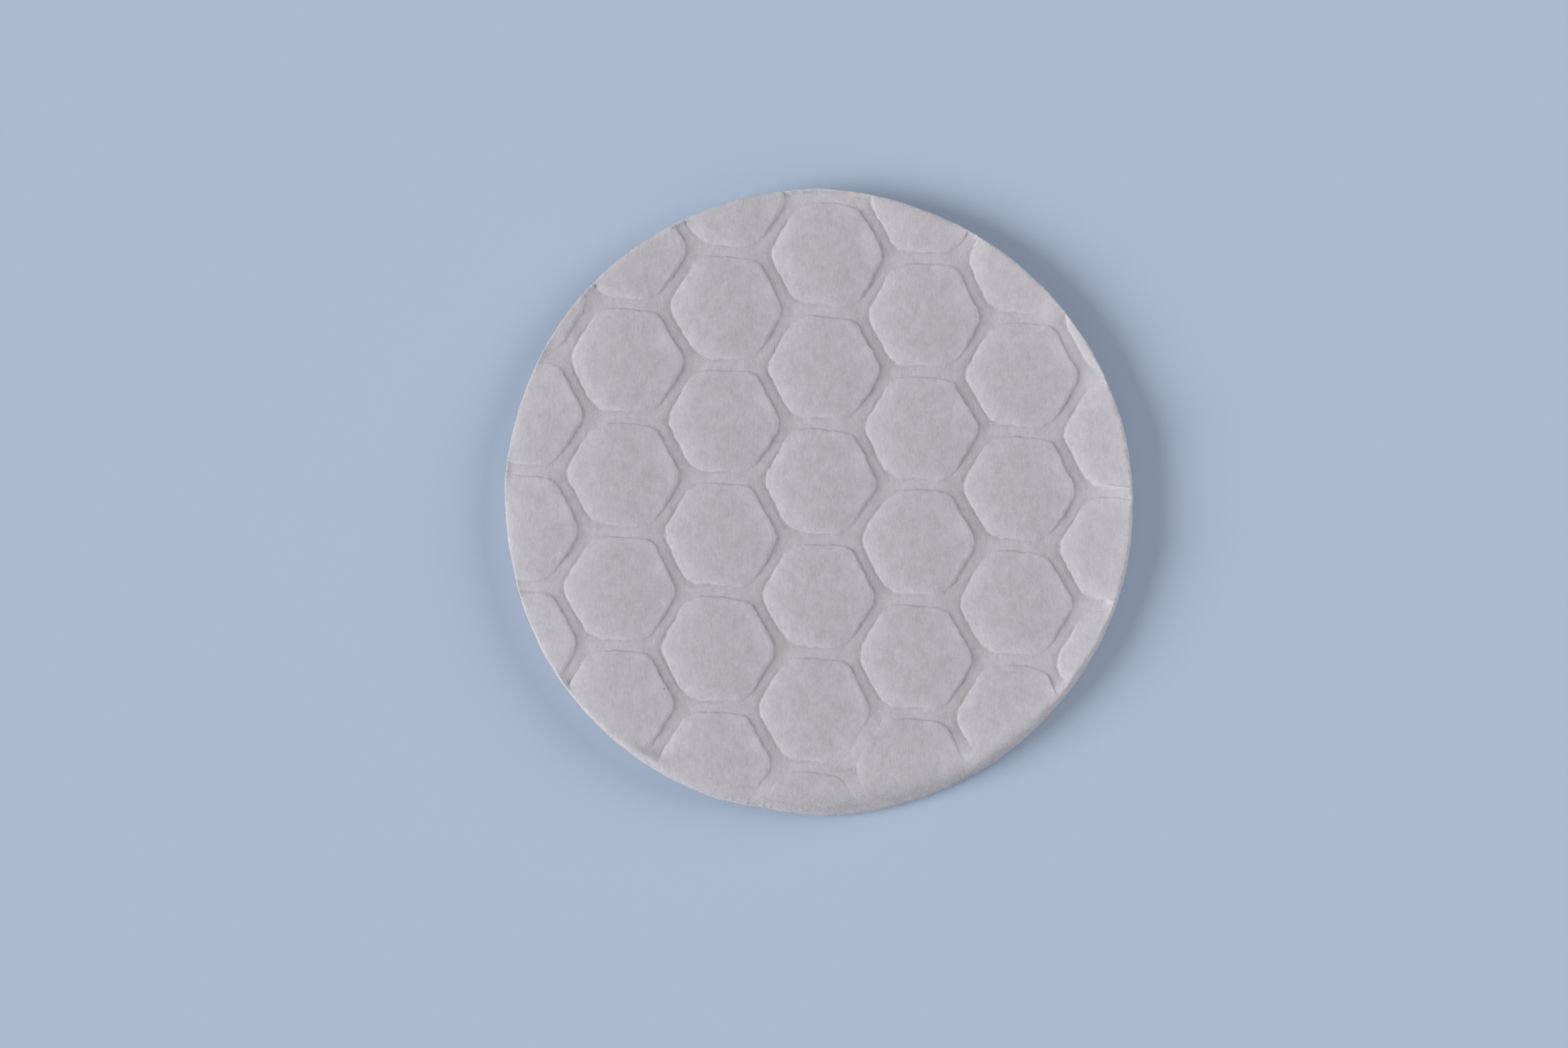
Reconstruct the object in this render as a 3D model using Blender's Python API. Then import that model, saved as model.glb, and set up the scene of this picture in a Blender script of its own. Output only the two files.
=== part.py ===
"""A round cotton pad with a honeycomb embossed into its upper face.

The real pad is one piece of bleached cotton web. A patterned roller presses the honeycomb's
grooves into the web, and a round die then punches the pad out of it, so the tiles at the rim
are cut wherever the die falls. The model is made the same way round: a stretch of embossed
web, and a disc of the die's form that keeps what lies inside it. Metres, +Z up. The pad lies
on its plain underside, with the origin at the middle of that face. Y runs along the web.
"""

import math

import bmesh
import bpy
from mathutils import Matrix, Vector

MM = 0.001

# Size of the pad
PAD_ACROSS = 57.0 * MM  # along X, across the web
PAD_ALONG = 56.2 * MM  # along Y: the web draws in a little along its length after the cut
PAD_THICKNESS = 3.0 * MM  # from the underside to the tops of the tiles

# Die-cut edge
TOP_EDGE_RADIUS = 0.45 * MM  # how far the cut rounds off the upper edge
TOP_EDGE_ENDS_DEG = 70.0  # how far round that edge turns before it meets the tops of the tiles
LOWER_EDGE_RADIUS = 0.25 * MM  # the same at the underside
CUT_LEAN = 0.5 * MM  # how far the cut drifts sideways on its way down
CUT_LEAN_TOWARDS_DEG = -70.0  # direction of that drift, from +X

# Embossed honeycomb
TILE_PITCH = 10.4 * MM  # from the centre of a tile to the centre of the next
GROOVE_WIDTH = 1.3 * MM  # between the walls of two tiles
GROOVE_DEPTH = 0.72 * MM  # from the tops of the tiles to the floor of a groove
TILE_CORNER_RADIUS = 1.6 * MM
TILE_SHOULDER_WIDTH = 0.5 * MM  # the steep part of a tile's eased edge
TILE_SHOULDER_RISE = 0.15 * MM
TILE_CROWN_WIDTH = 0.9 * MM  # the gentle part, which runs on to the flat middle
TILE_CROWN_RISE = 0.13 * MM
FIRST_TILE_CENTRE = Vector((0.36 * MM, 1.88 * MM))  # from the centre of the pad
ROWS_TURNED_DEG = -2.1  # the rows of tiles against X
COLUMNS_TURNED_DEG = -1.5  # the columns against Y: the web was pulled a little askew

# How finely round shapes are cut up
RIM_SEGMENTS = 96
EDGE_SEGMENTS = 3
CORNER_SEGMENTS = 3

RUN_PAST = 0.6 * MM  # how far a shape runs on beyond the face that it is cut by
HALF_CORNER = math.radians(30.0)  # a hexagon turns 60 degrees at a corner

COTTON_COLOUR = (0.44, 0.43, 0.45, 1.0)
COTTON_ROUGHNESS = 0.95
SHARP_FROM = math.radians(35.0)  # faces that meet at less than this are shaded as one surface


def clear_scene():
    for found in list(bpy.data.objects):
        bpy.data.objects.remove(found, do_unlink=True)


def new_object(name, bm):
    """Moves a bmesh into a mesh object of that name in the scene."""
    bmesh.ops.recalc_face_normals(bm, faces=bm.faces)
    mesh = bpy.data.meshes.new(name)
    bm.to_mesh(mesh)
    bm.free()
    made = bpy.data.objects.new(name, mesh)
    bpy.context.scene.collection.objects.link(made)
    return made


def combine(target, operand, operation):
    """Joins or cuts target with operand for good, and removes operand."""
    boolean = target.modifiers.new(operation.lower(), "BOOLEAN")
    boolean.operation = operation
    boolean.solver = "EXACT"
    boolean.object = operand
    graph = bpy.context.evaluated_depsgraph_get()
    result = bpy.data.meshes.new_from_object(target.evaluated_get(graph))
    target.modifiers.clear()
    target.data = result
    bpy.data.objects.remove(operand, do_unlink=True)


def cotton():
    material = bpy.data.materials.new("bleached_cotton")
    material.use_nodes = True
    shader = material.node_tree.nodes["Principled BSDF"]
    shader.inputs["Base Color"].default_value = COTTON_COLOUR
    shader.inputs["Roughness"].default_value = COTTON_ROUGHNESS
    shader.inputs["Metallic"].default_value = 0.0
    return material


def honeycomb_matrix():
    """The honeycomb's own axes, laid on the pad: rows along X and columns along Y, each turned."""
    row = math.radians(ROWS_TURNED_DEG)
    column = math.radians(COLUMNS_TURNED_DEG)
    return Matrix(
        (
            (math.cos(row), -math.sin(column), 0.0, FIRST_TILE_CENTRE.x),
            (math.sin(row), math.cos(column), 0.0, FIRST_TILE_CENTRE.y),
            (0.0, 0.0, 1.0, 0.0),
            (0.0, 0.0, 0.0, 1.0),
        )
    )


def tile_centres(reach):
    """Centres of the tiles, in the honeycomb's own axes, that come within reach of the pad's centre."""
    column_step = TILE_PITCH * math.cos(HALF_CORNER)
    placed = honeycomb_matrix()
    columns = math.ceil(reach / column_step) + 1
    rows = math.ceil(reach / TILE_PITCH) + 2
    centres = []
    for i in range(-columns, columns + 1):
        for j in range(-rows, rows + 1):
            shift = 0.5 * (i % 2)
            centre = Vector((i * column_step, (j + shift) * TILE_PITCH, 0.0))
            if (placed @ centre).length < reach:
                centres.append(centre)
    return centres


def add_tile(bm, centre):
    """One tile: a hexagon with rounded corners, straight walls and an edge that eases up to a flat middle."""
    across_flats = TILE_PITCH - GROOVE_WIDTH
    corner_distance = 0.5 * across_flats / math.cos(HALF_CORNER)
    eased = TILE_SHOULDER_RISE + TILE_CROWN_RISE
    foot = PAD_THICKNESS - GROOVE_DEPTH - RUN_PAST
    wall_height = PAD_THICKNESS - eased - foot
    # The circle's first corner lies on +Y, and the tiles have their corners on the rows.
    upright = Matrix.Translation(centre + Vector((0.0, 0.0, foot))) @ Matrix.Rotation(math.pi / 2, 4, "Z")
    circle = bmesh.ops.create_circle(bm, cap_ends=True, radius=corner_distance, segments=6, matrix=upright)
    rounded = bmesh.ops.bevel(
        bm,
        geom=circle["verts"],
        offset=TILE_CORNER_RADIUS * math.tan(HALF_CORNER),
        offset_type="OFFSET",
        segments=CORNER_SEGMENTS,
        profile=0.5,
        affect="VERTICES",
        material=-1,
    )
    base = rounded["verts"][0].link_faces[0]
    raised = bmesh.ops.extrude_face_region(bm, geom=[base])["geom"]
    top = next(part for part in raised if isinstance(part, bmesh.types.BMFace))
    bmesh.ops.translate(bm, verts=top.verts, vec=Vector((0.0, 0.0, wall_height)))
    top.normal_update()
    if top.normal.z < 0.0:
        top.normal_flip()
    bmesh.ops.inset_individual(bm, faces=[top], thickness=TILE_SHOULDER_WIDTH, depth=TILE_SHOULDER_RISE)
    bmesh.ops.inset_individual(bm, faces=[top], thickness=TILE_CROWN_WIDTH, depth=TILE_CROWN_RISE)


def make_tiles(reach):
    bm = bmesh.new()
    for centre in tile_centres(reach):
        add_tile(bm, centre)
    bmesh.ops.transform(bm, matrix=honeycomb_matrix(), verts=bm.verts)
    return new_object("tiles", bm)


def make_web(side):
    """The web as the roller's ridges leave it: a slab up to the floor of the grooves, with the tiles on it."""
    floor = PAD_THICKNESS - GROOVE_DEPTH
    bm = bmesh.new()
    bmesh.ops.create_cube(bm, size=1.0)
    bmesh.ops.translate(bm, verts=bm.verts, vec=Vector((0.0, 0.0, -0.5)))
    bmesh.ops.scale(bm, verts=bm.verts, vec=Vector((side, side, floor + RUN_PAST)))
    bmesh.ops.translate(bm, verts=bm.verts, vec=Vector((0.0, 0.0, floor)))
    return new_object("embossed_web", bm)


def wall_ends():
    """Heights at which the straight stretch of the cut edge starts and ends."""
    rounded_off = TOP_EDGE_RADIUS * math.sin(math.radians(TOP_EDGE_ENDS_DEG))
    return LOWER_EDGE_RADIUS, PAD_THICKNESS - rounded_off


def quarter_turn(centre, radius, start_deg):
    """Points of a quarter circle in the XZ plane, both ends included."""
    points = []
    for step in range(EDGE_SEGMENTS + 1):
        angle = math.radians(start_deg + 90.0 * step / EDGE_SEGMENTS)
        points.append(centre + radius * Vector((math.cos(angle), 0.0, math.sin(angle))))
    return points


def die_profile():
    """Half the section of the die-cut disc, from the middle of the underside to above the tiles.

    The upper rounding runs on past the tops of the tiles, which then cut it off.
    """
    half = 0.5 * PAD_ACROSS
    foot, head = wall_ends()
    lower = Vector((half - LOWER_EDGE_RADIUS, 0.0, foot))
    upper = Vector((half - TOP_EDGE_RADIUS, 0.0, head))
    over = PAD_THICKNESS + RUN_PAST
    points = [Vector((0.0, 0.0, 0.0))]
    points += quarter_turn(lower, LOWER_EDGE_RADIUS, -90.0)
    points += quarter_turn(upper, TOP_EDGE_RADIUS, 0.0)
    points += [Vector((upper.x, 0.0, over)), Vector((0.0, 0.0, over))]
    return points


def lean_matrix():
    """Shears the disc so that its foot lies further out on one side, with the middle of its wall held."""
    foot, head = wall_ends()
    middle = 0.5 * (foot + head)
    towards = math.radians(CUT_LEAN_TOWARDS_DEG)
    slope = CUT_LEAN / (head - foot)
    lean = slope * Vector((math.cos(towards), math.sin(towards)))
    return Matrix(
        (
            (1.0, 0.0, -lean.x, lean.x * middle),
            (0.0, 1.0, -lean.y, lean.y * middle),
            (0.0, 0.0, 1.0, 0.0),
            (0.0, 0.0, 0.0, 1.0),
        )
    )


def make_disc():
    """All that lies inside the die. The embossed web then fills it, and what is left is the pad."""
    bm = bmesh.new()
    profile = [bm.verts.new(point) for point in die_profile()]
    edges = [bm.edges.new(pair) for pair in zip(profile, profile[1:])]
    bmesh.ops.spin(
        bm,
        geom=profile + edges,
        cent=Vector(),
        axis=Vector((0.0, 0.0, 1.0)),
        angle=2.0 * math.pi,
        steps=RIM_SEGMENTS,
        use_merge=True,
    )
    bmesh.ops.remove_doubles(bm, verts=bm.verts, dist=0.0001 * MM)
    bmesh.ops.scale(bm, verts=bm.verts, vec=Vector((1.0, PAD_ALONG / PAD_ACROSS, 1.0)))
    bmesh.ops.transform(bm, matrix=lean_matrix(), verts=bm.verts)
    return new_object("cotton_pad", bm)


def main():
    clear_scene()
    longest = max(PAD_ACROSS, PAD_ALONG) + CUT_LEAN
    web = make_web(side=longest + 2.0 * RUN_PAST)
    combine(web, make_tiles(reach=0.5 * longest + TILE_PITCH), "UNION")
    pad = make_disc()
    combine(pad, web, "INTERSECT")
    pad.data.materials.clear()
    pad.data.materials.append(cotton())
    pad.data.shade_smooth()
    pad.data.set_sharp_from_angle(angle=SHARP_FROM)


main()
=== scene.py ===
# %% [markdown]
# # A round cotton pad
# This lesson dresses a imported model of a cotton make-up pad, about 57 mm across. The real one is a web
# of bleached cotton fibre. A roller presses a honeycomb of grooves into it, and a round die punches the
# pad out. The model is made in the same order, because that gives the pad its look: tiles that swell
# between the grooves, and a cut that runs straight through them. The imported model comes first, as the
# frame that every piece has to fit.

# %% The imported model
import math

import bmesh
import bpy
import numpy as np
from mathutils import Matrix, Vector, noise
from mathutils.bvhtree import BVHTree


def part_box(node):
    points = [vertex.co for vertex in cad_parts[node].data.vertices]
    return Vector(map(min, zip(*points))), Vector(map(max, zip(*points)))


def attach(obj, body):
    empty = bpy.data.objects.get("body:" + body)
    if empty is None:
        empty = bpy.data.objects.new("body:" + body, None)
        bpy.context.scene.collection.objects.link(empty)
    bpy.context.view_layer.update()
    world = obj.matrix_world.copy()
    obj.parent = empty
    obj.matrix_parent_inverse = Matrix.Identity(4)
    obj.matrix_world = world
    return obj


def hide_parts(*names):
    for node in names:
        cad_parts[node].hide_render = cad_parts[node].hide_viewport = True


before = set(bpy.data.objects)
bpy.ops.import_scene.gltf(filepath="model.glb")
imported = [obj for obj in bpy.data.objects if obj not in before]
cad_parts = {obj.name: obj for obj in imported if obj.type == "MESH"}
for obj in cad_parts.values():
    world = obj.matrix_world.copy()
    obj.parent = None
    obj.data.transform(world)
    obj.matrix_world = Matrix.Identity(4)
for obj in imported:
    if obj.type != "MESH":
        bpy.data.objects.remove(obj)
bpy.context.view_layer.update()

MM = 0.001
pad_low, pad_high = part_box("cotton_pad")
PAD_WIDTH = pad_high.x - pad_low.x
PAD_THICKNESS = pad_high.z
print("the pad's box in mm:", [round(side / MM, 2) for side in pad_high - pad_low])

# %% [markdown]
# ## Colours and nodes
# A colour is easiest to choose as the sRGB hex value that a painting program shows, but a shader works
# in linear light, so one function turns the first into the second. The others make a node, a mesh or an
# object in one call each, so that what follows reads as a short list of steps.

# %% Helpers for materials and objects
SRGB_TOE = 0.04045  # below this the sRGB curve is a straight line


def linear(hex_colour):
    """A colour such as "#C8C6CA" as the linear red, green, blue and alpha that a shader takes."""
    channels = []
    for start in (1, 3, 5):
        value = int(hex_colour[start : start + 2], 16) / 255
        if value <= SRGB_TOE:
            channels.append(value / 12.92)
        else:
            channels.append(((value + 0.055) / 1.055) ** 2.4)
    return (*channels, 1.0)


def feed(node, inputs):
    """Gives each named input of a node its value, or the output that feeds it."""
    for socket, source in inputs.items():
        if isinstance(source, bpy.types.NodeSocket):
            node.id_data.links.new(source, node.inputs[socket])
        else:
            node.inputs[socket].default_value = source


def add_node(tree, kind, inputs=None, **settings):
    made = tree.nodes.new("ShaderNode" + kind)
    for name, value in settings.items():
        setattr(made, name, value)
    feed(made, inputs or {})
    return made


def new_material(name):
    """A material with its shader and its node tree."""
    material = bpy.data.materials.new(name)
    material.use_nodes = True
    return material, material.node_tree.nodes["Principled BSDF"], material.node_tree


def mesh_from(name, bm):
    """Moves a bmesh into a new mesh."""
    mesh = bpy.data.meshes.new(name)
    bm.to_mesh(mesh)
    bm.free()
    return mesh


def new_object(name, data):
    """Puts a mesh, curve, camera or lamp into the scene as an object."""
    made = bpy.data.objects.new(name, data)
    bpy.context.scene.collection.objects.link(made)
    return made


def final_mesh(thing):
    """What an object's modifiers or its bevel make of it, as a new mesh."""
    graph = bpy.context.evaluated_depsgraph_get()
    return bpy.data.meshes.new_from_object(thing.evaluated_get(graph))


print("mid grey in linear light:", round(linear("#808080")[0], 3))

# %% [markdown]
# ## Camera
# The photograph looks almost straight down. The tiles at the bottom of it measure half a per cent
# larger than the ones at the top, so the camera stood a little towards that side and was tipped by
# about four degrees. Its distance can't be read from so flat a thing, and an arm's length is assumed.
# The lens then follows from how wide the pad is in the frame, and the aim from where its centre is.

# %% Camera
bpy.context.scene.view_settings.view_transform = "Standard"
PHOTO_WIDTH, PHOTO_HEIGHT = 2346, 1568
PAD_CENTRE_PX = (1224.2, 751.3)
PAD_WIDTH_PX = 942.0
CAMERA_DISTANCE = 450 * MM
CAMERA_TIP = math.radians(4.0)
SENSOR_WIDTH = 36.0
NEAREST_SEEN = 10 * MM

metres_per_px = PAD_WIDTH / PAD_WIDTH_PX
aim = Vector((
    (PHOTO_WIDTH / 2 - PAD_CENTRE_PX[0]) * metres_per_px,
    (PAD_CENTRE_PX[1] - PHOTO_HEIGHT / 2) * metres_per_px,
    PAD_THICKNESS,
))
lens_data = bpy.data.cameras.new("copy_stand_camera")
lens_data.sensor_width = SENSOR_WIDTH
lens_data.lens = SENSOR_WIDTH * CAMERA_DISTANCE / (PHOTO_WIDTH * metres_per_px)
lens_data.clip_start = NEAREST_SEEN
camera = new_object("copy_stand_camera", lens_data)
camera.location = aim + CAMERA_DISTANCE * Vector((0.0, -math.sin(CAMERA_TIP), math.cos(CAMERA_TIP)))
camera.rotation_euler = (CAMERA_TIP, 0.0, 0.0)
bpy.context.scene.camera = camera
print("lens in mm:", round(lens_data.lens, 1))

# %% [markdown]
# ## Floor and light
# White cotton is judged by its shadows, so the light has to be soft, low and uneven. The shadow beside
# the pad is deepest on the right and about half as deep on the left, which gives a large soft light
# from the left, a weaker one from the right, a faint one from the front, and the rest from all round.
# Three suns with a wide disc do this, because a sun lights the floor evenly however far it runs.
# Together with the world they add up to one, so that a level surface shows its colour as written.

# %% Floor and light
LEVEL_SHARE_LEFT = 0.45  # share of the light on a level surface that comes from the left
LEVEL_SHARE_RIGHT = 0.22
LEVEL_SHARE_FRONT = 0.05
LEVEL_SHARE_ROUND = 0.28
FLOOR_COLOUR = linear("#ABBACF")
FLOOR_REACH = 4.0
FLOOR_GAP = 0.01 * MM  # keeps the floor and the underside out of one plane


def soft_sun(name, share, azimuth_deg, elevation_deg, disc_deg):
    """A sun that gives a level white surface that share of full light. Azimuth 0 is +X."""
    data = bpy.data.lights.new(name, "SUN")
    azimuth, elevation = math.radians(azimuth_deg), math.radians(elevation_deg)
    data.energy = share * math.pi / math.sin(elevation)
    data.angle = math.radians(disc_deg)
    lamp = new_object(name, data)
    level = Vector((math.cos(azimuth), math.sin(azimuth), 0.0)) * math.cos(elevation)
    towards = level + Vector((0.0, 0.0, math.sin(elevation)))
    lamp.rotation_euler = towards.to_track_quat("Z", "Y").to_euler()


soft_sun("window_left", LEVEL_SHARE_LEFT, azimuth_deg=190, elevation_deg=28, disc_deg=34)
soft_sun("reflector_right", LEVEL_SHARE_RIGHT, azimuth_deg=22, elevation_deg=29, disc_deg=40)
soft_sun("reflector_front", LEVEL_SHARE_FRONT, azimuth_deg=270, elevation_deg=35, disc_deg=50)

world = bpy.data.worlds.new("even_room_light")
bpy.context.scene.world = world
world.use_nodes = True
sky = world.node_tree
sky.nodes.clear()
to_camera = add_node(sky, "LightPath").outputs["Is Camera Ray"]
room = add_node(sky, "Background", {"Color": (1.0, 1.0, 1.0, 1.0), "Strength": LEVEL_SHARE_ROUND})
behind = add_node(sky, "Background", {"Color": FLOOR_COLOUR, "Strength": 1.0})
seen = add_node(sky, "MixShader", {0: to_camera, 1: room.outputs[0], 2: behind.outputs[0]})
add_node(sky, "OutputWorld", {"Surface": seen.outputs[0]})

bm = bmesh.new()
bmesh.ops.create_grid(bm, x_segments=1, y_segments=1, size=FLOOR_REACH)
bmesh.ops.translate(bm, verts=bm.verts, vec=Vector((0.0, 0.0, pad_low.z - FLOOR_GAP)))
floor = new_object("pale_floor", mesh_from("pale_floor", bm))
paint, shader, _ = new_material("matt_floor_paint")
feed(shader, {"Base Color": FLOOR_COLOUR, "Roughness": 0.9, "Specular IOR Level": 0.1})
floor.data.materials.append(paint)
level_light = LEVEL_SHARE_LEFT + LEVEL_SHARE_RIGHT + LEVEL_SHARE_FRONT + LEVEL_SHARE_ROUND
print("light on a level surface:", round(level_light, 3))

# %% [markdown]
# ## The honeycomb's measures
# The tiles are hexagons with rounded corners. Rows of them run across the web and columns along it,
# each turned by a degree or two, because the web was pulled a little askew before it was cut. These
# sizes are the ones that the solid model was built from, to a tenth of a millimetre, so the fine
# surface lies where it does.

# %% The honeycomb's measures
TILE_PITCH = 10.4 * MM  # from the centre of a tile to the centre of the next
GROOVE_WIDTH = 1.30 * MM
GROOVE_DEPTH = 0.72 * MM  # from the crown of a tile to the floor of a groove
FIRST_TILE_CENTRE = (0.27 * MM, 1.87 * MM)
ROWS_TURNED = math.radians(-2.1)
COLUMNS_TURNED = math.radians(-1.5)
HALF_PITCH = 0.5 * TILE_PITCH
WALL_RING = HALF_PITCH - 0.5 * GROOVE_WIDTH  # from a tile's centre to its wall
COS_30 = math.cos(math.radians(30.0))
TAN_30 = math.tan(math.radians(30.0))
GROOVE_FLOOR = PAD_THICKNESS - GROOVE_DEPTH

laid_on_pad = Matrix((
    (math.cos(ROWS_TURNED), -math.sin(COLUMNS_TURNED), 0.0, FIRST_TILE_CENTRE[0]),
    (math.sin(ROWS_TURNED), math.cos(COLUMNS_TURNED), 0.0, FIRST_TILE_CENTRE[1]),
    (0.0, 0.0, 1.0, 0.0),
    (0.0, 0.0, 0.0, 1.0),
))
print("tiles across the pad:", round(PAD_WIDTH / (TILE_PITCH * COS_30), 1))

# %% [markdown]
# ## A sheet of equal triangles
# A plain grid would cut a honeycomb's slanting walls into steps. A sheet of equal triangles has rows in
# the same three directions as a hexagon's sides, so every wall of every tile lies along a row. A capped
# circle of six segments is six triangles, and subdividing it gives exactly such a sheet. The first one
# is coarse, for the cloth simulation, and is divided again afterwards.

# %% A coarse sheet of web
COARSE_ROWS = 8  # rows of triangles from the centre of a tile to the middle of its groove
RUNS_PAST = 0.9 * MM  # how far the sheet runs on past the die's cut
REACH = 0.5 * PAD_WIDTH + FIRST_TILE_CENTRE[1] + RUNS_PAST


def triangle_sheet(row_height, reach):
    """A six-sided sheet of equal triangles, with rows along X, that reaches that far each way."""
    rings = math.ceil(reach / row_height)
    bm = bmesh.new()
    # The circle's first corner lies on +Y, and the sheet needs one on the X axis.
    turned = Matrix.Rotation(math.radians(90.0), 4, "Z")
    radius = rings * row_height / COS_30
    bmesh.ops.create_circle(bm, cap_ends=True, cap_tris=True, segments=6, radius=radius, matrix=turned)
    bmesh.ops.subdivide_edges(bm, edges=bm.edges, cuts=rings - 1, use_grid_fill=True)
    return bm


def points_of(mesh):
    """A mesh's points as rows of x, y and z."""
    flat = np.empty(3 * len(mesh.vertices), np.float32)
    mesh.vertices.foreach_get("co", flat)
    return flat.reshape(-1, 3).astype(float)


def move_points(mesh, points):
    mesh.vertices.foreach_set("co", points.astype(np.float32).ravel())
    mesh.update()


web_mesh = mesh_from("cotton_web", triangle_sheet(HALF_PITCH / COARSE_ROWS, REACH))
print("coarse web:", len(web_mesh.vertices), "points,", len(web_mesh.polygons), "triangles")

# %% [markdown]
# ## Where a point lies in its tile
# The next steps need to know which tile each point of the web belongs to, and how far out it lies. That
# is measured square to the tile's nearest side, so the points of one ring form a hexagon. It is 0 at a
# tile's centre and half the pitch in the middle of a groove.

# %% Tiles and rings
SIDE_NORMALS = np.radians([90.0, 30.0, -30.0])
TINY = 1e-9  # metres, far below any size here


def nearest_tiles(points):
    """Column and row of the tile that each point belongs to, and the point's offset from its centre."""
    column_step = TILE_PITCH * COS_30
    guess = np.round(points[:, 0] / column_step)
    nearest = np.full(len(points), np.inf)
    tile = np.zeros((len(points), 2))
    offset = np.zeros((len(points), 2))
    for column in (guess - 1, guess, guess + 1):
        shift = 0.5 * (column % 2)
        row = np.round(points[:, 1] / TILE_PITCH - shift)
        away = points[:, :2] - np.stack([column * column_step, (row + shift) * TILE_PITCH], 1)
        distance = np.linalg.norm(away, axis=1)
        closer = distance < nearest - TINY
        nearest[closer] = distance[closer]
        offset[closer] = away[closer]
        tile[closer] = np.stack([column, row], 1)[closer]
    return tile.astype(int), offset


def ring_of(offset):
    """How far out a point lies in its tile, measured square to the nearest side."""
    normals = np.stack([np.cos(SIDE_NORMALS), np.sin(SIDE_NORMALS)])
    return np.abs(offset @ normals).max(1)


coarse_tile, coarse_offset = nearest_tiles(points_of(web_mesh))
coarse_ring = ring_of(coarse_offset)
print("tiles in the sheet:", len(np.unique(coarse_tile, axis=0)))

# %% [markdown]
# ## Swelling between the pressed lines
# Between the lines that the roller has pressed hard, the web springs back and swells. That is a cloth
# simulation: the points in the grooves are pinned, gravity is off, and a little pressure pushes the
# rest up. Cloth settings are tuned for things about a metre across, so the sheet is simulated at twenty
# times its size.

# %% Swelling between the pressed lines
SIM_SCALE = 20.0
SIM_FRAMES = 20
CLOTH = {
    "quality": 5, "mass": 0.3, "air_damping": 6.0, "tension_stiffness": 5.0, "compression_stiffness": 5.0,
    "shear_stiffness": 1.7, "bending_stiffness": 0.2, "tension_damping": 25.0, "compression_damping": 25.0,
    "shear_damping": 25.0, "use_pressure": True, "uniform_pressure_force": 8.5,
}
PRESSED_INTO_TILE = 0.05 * MM  # how far past its wall a tile is still held down
PRESSED_EDGE = 0.1 * MM  # width of the strip held down at the sheet's own edge
sheet_ring = ring_of(points_of(web_mesh)[:, :2])
pressed = coarse_ring > WALL_RING - PRESSED_INTO_TILE
pressed |= sheet_ring > sheet_ring.max() - PRESSED_EDGE


def swell(mesh, pinned):
    """Heights that each point of the sheet reaches under pressure, with the pinned ones held."""
    sheet = new_object("swelling_web", mesh)
    held = sheet.vertex_groups.new(name="pressed")
    held.add(np.flatnonzero(pinned).tolist(), 1.0, "REPLACE")
    cloth = sheet.modifiers.new("swell", "CLOTH")
    for setting, value in CLOTH.items():
        setattr(cloth.settings, setting, value)
    cloth.settings.vertex_group_mass = held.name
    cloth.settings.effector_weights.gravity = 0.0
    cloth.collision_settings.use_collision = False
    cloth.point_cache.frame_end = SIM_FRAMES
    for step in range(1, SIM_FRAMES + 1):
        bpy.context.scene.frame_set(step)
    swollen = final_mesh(sheet)
    heights = points_of(swollen)[:, 2]
    bpy.context.scene.frame_set(1)
    bpy.data.objects.remove(sheet, do_unlink=True)
    bpy.data.meshes.remove(swollen)
    return heights


flat_web = points_of(web_mesh)
scaled = web_mesh.copy()
move_points(scaled, flat_web * SIM_SCALE)
rise = swell(scaled, pressed) / SIM_SCALE
rise = np.where(pressed, 0.0, np.abs(rise))
bpy.data.meshes.remove(scaled)
print("the web swells by", round(rise.max() / MM, 3), "mm")
move_points(web_mesh, np.column_stack([flat_web[:, :2], rise]))

# %% [markdown]
# ## Dividing the web
# Each coarse triangle becomes nine. The new points lie on straight lines between the old ones, so a
# few rounds of smoothing, up and down only, turn the facets of the domes back into curves. The domes
# are kept in a search tree, because the next steps move the points sideways, and each point then needs
# the height of the dome at its new place.

# %% Dividing the web
SPLIT = 3
FINE_ROWS = COARSE_ROWS * SPLIT
DOME_SMOOTHINGS = 3
bm = bmesh.new()
bm.from_mesh(web_mesh)
bmesh.ops.subdivide_edges(bm, edges=bm.edges, cuts=SPLIT - 1, use_grid_fill=True)
for _ in range(DOME_SMOOTHINGS):
    bmesh.ops.smooth_vert(bm, verts=bm.verts, factor=0.5, use_axis_z=True)
domes = BVHTree.FromBMesh(bm)
bm.to_mesh(web_mesh)
bm.free()
web = points_of(web_mesh)
tile, offset = nearest_tiles(web)
ring = ring_of(offset)
print("fine web:", len(web_mesh.vertices), "points,", len(web_mesh.polygons), "triangles")

# %% [markdown]
# ## The section of a groove
# A roller's ridge leaves a flat floor, a steep wall and an eased edge. The fine rows are 0.2 mm apart,
# which is too coarse for a wall. So they are gathered: each row is moved to its place in this section,
# close together on the wall and further apart on the tile. Two forms of wall are drawn over the same
# rows: a crisp one, which throws the thin dark line beside each tile, and a soft one, where the web was
# dragged against the ridge and the edge slopes.

# %% The section of a groove
SECTION = (
    # row from the middle of the groove, distance from it in mm, height of a crisp and of a soft wall
    (0, 0.00, 0.00, 0.00),
    (1, 0.22, 0.00, 0.01),
    (2, 0.42, -0.02, 0.00),
    (3, 0.55, -0.08, -0.03),
    (4, 0.61, 0.06, 0.04),
    (5, 0.66, 0.42, 0.13),
    (6, 0.71, 0.78, 0.23),
    (7, 0.79, 0.92, 0.35),
    (8, 0.92, 0.97, 0.51),
    (10, 1.25, 1.00, 0.80),
    (12, 1.70, 1.00, 0.96),
    (FINE_ROWS, HALF_PITCH / MM, 1.00, 1.00),
)
WALL_HEIGHT = 0.34 * MM
section_row, section_out, crisp_wall, soft_wall = (np.array(column, float) for column in zip(*SECTION))
row = (HALF_PITCH - ring) / (HALF_PITCH / FINE_ROWS)
from_groove = np.interp(row, section_row, section_out) * MM
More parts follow.
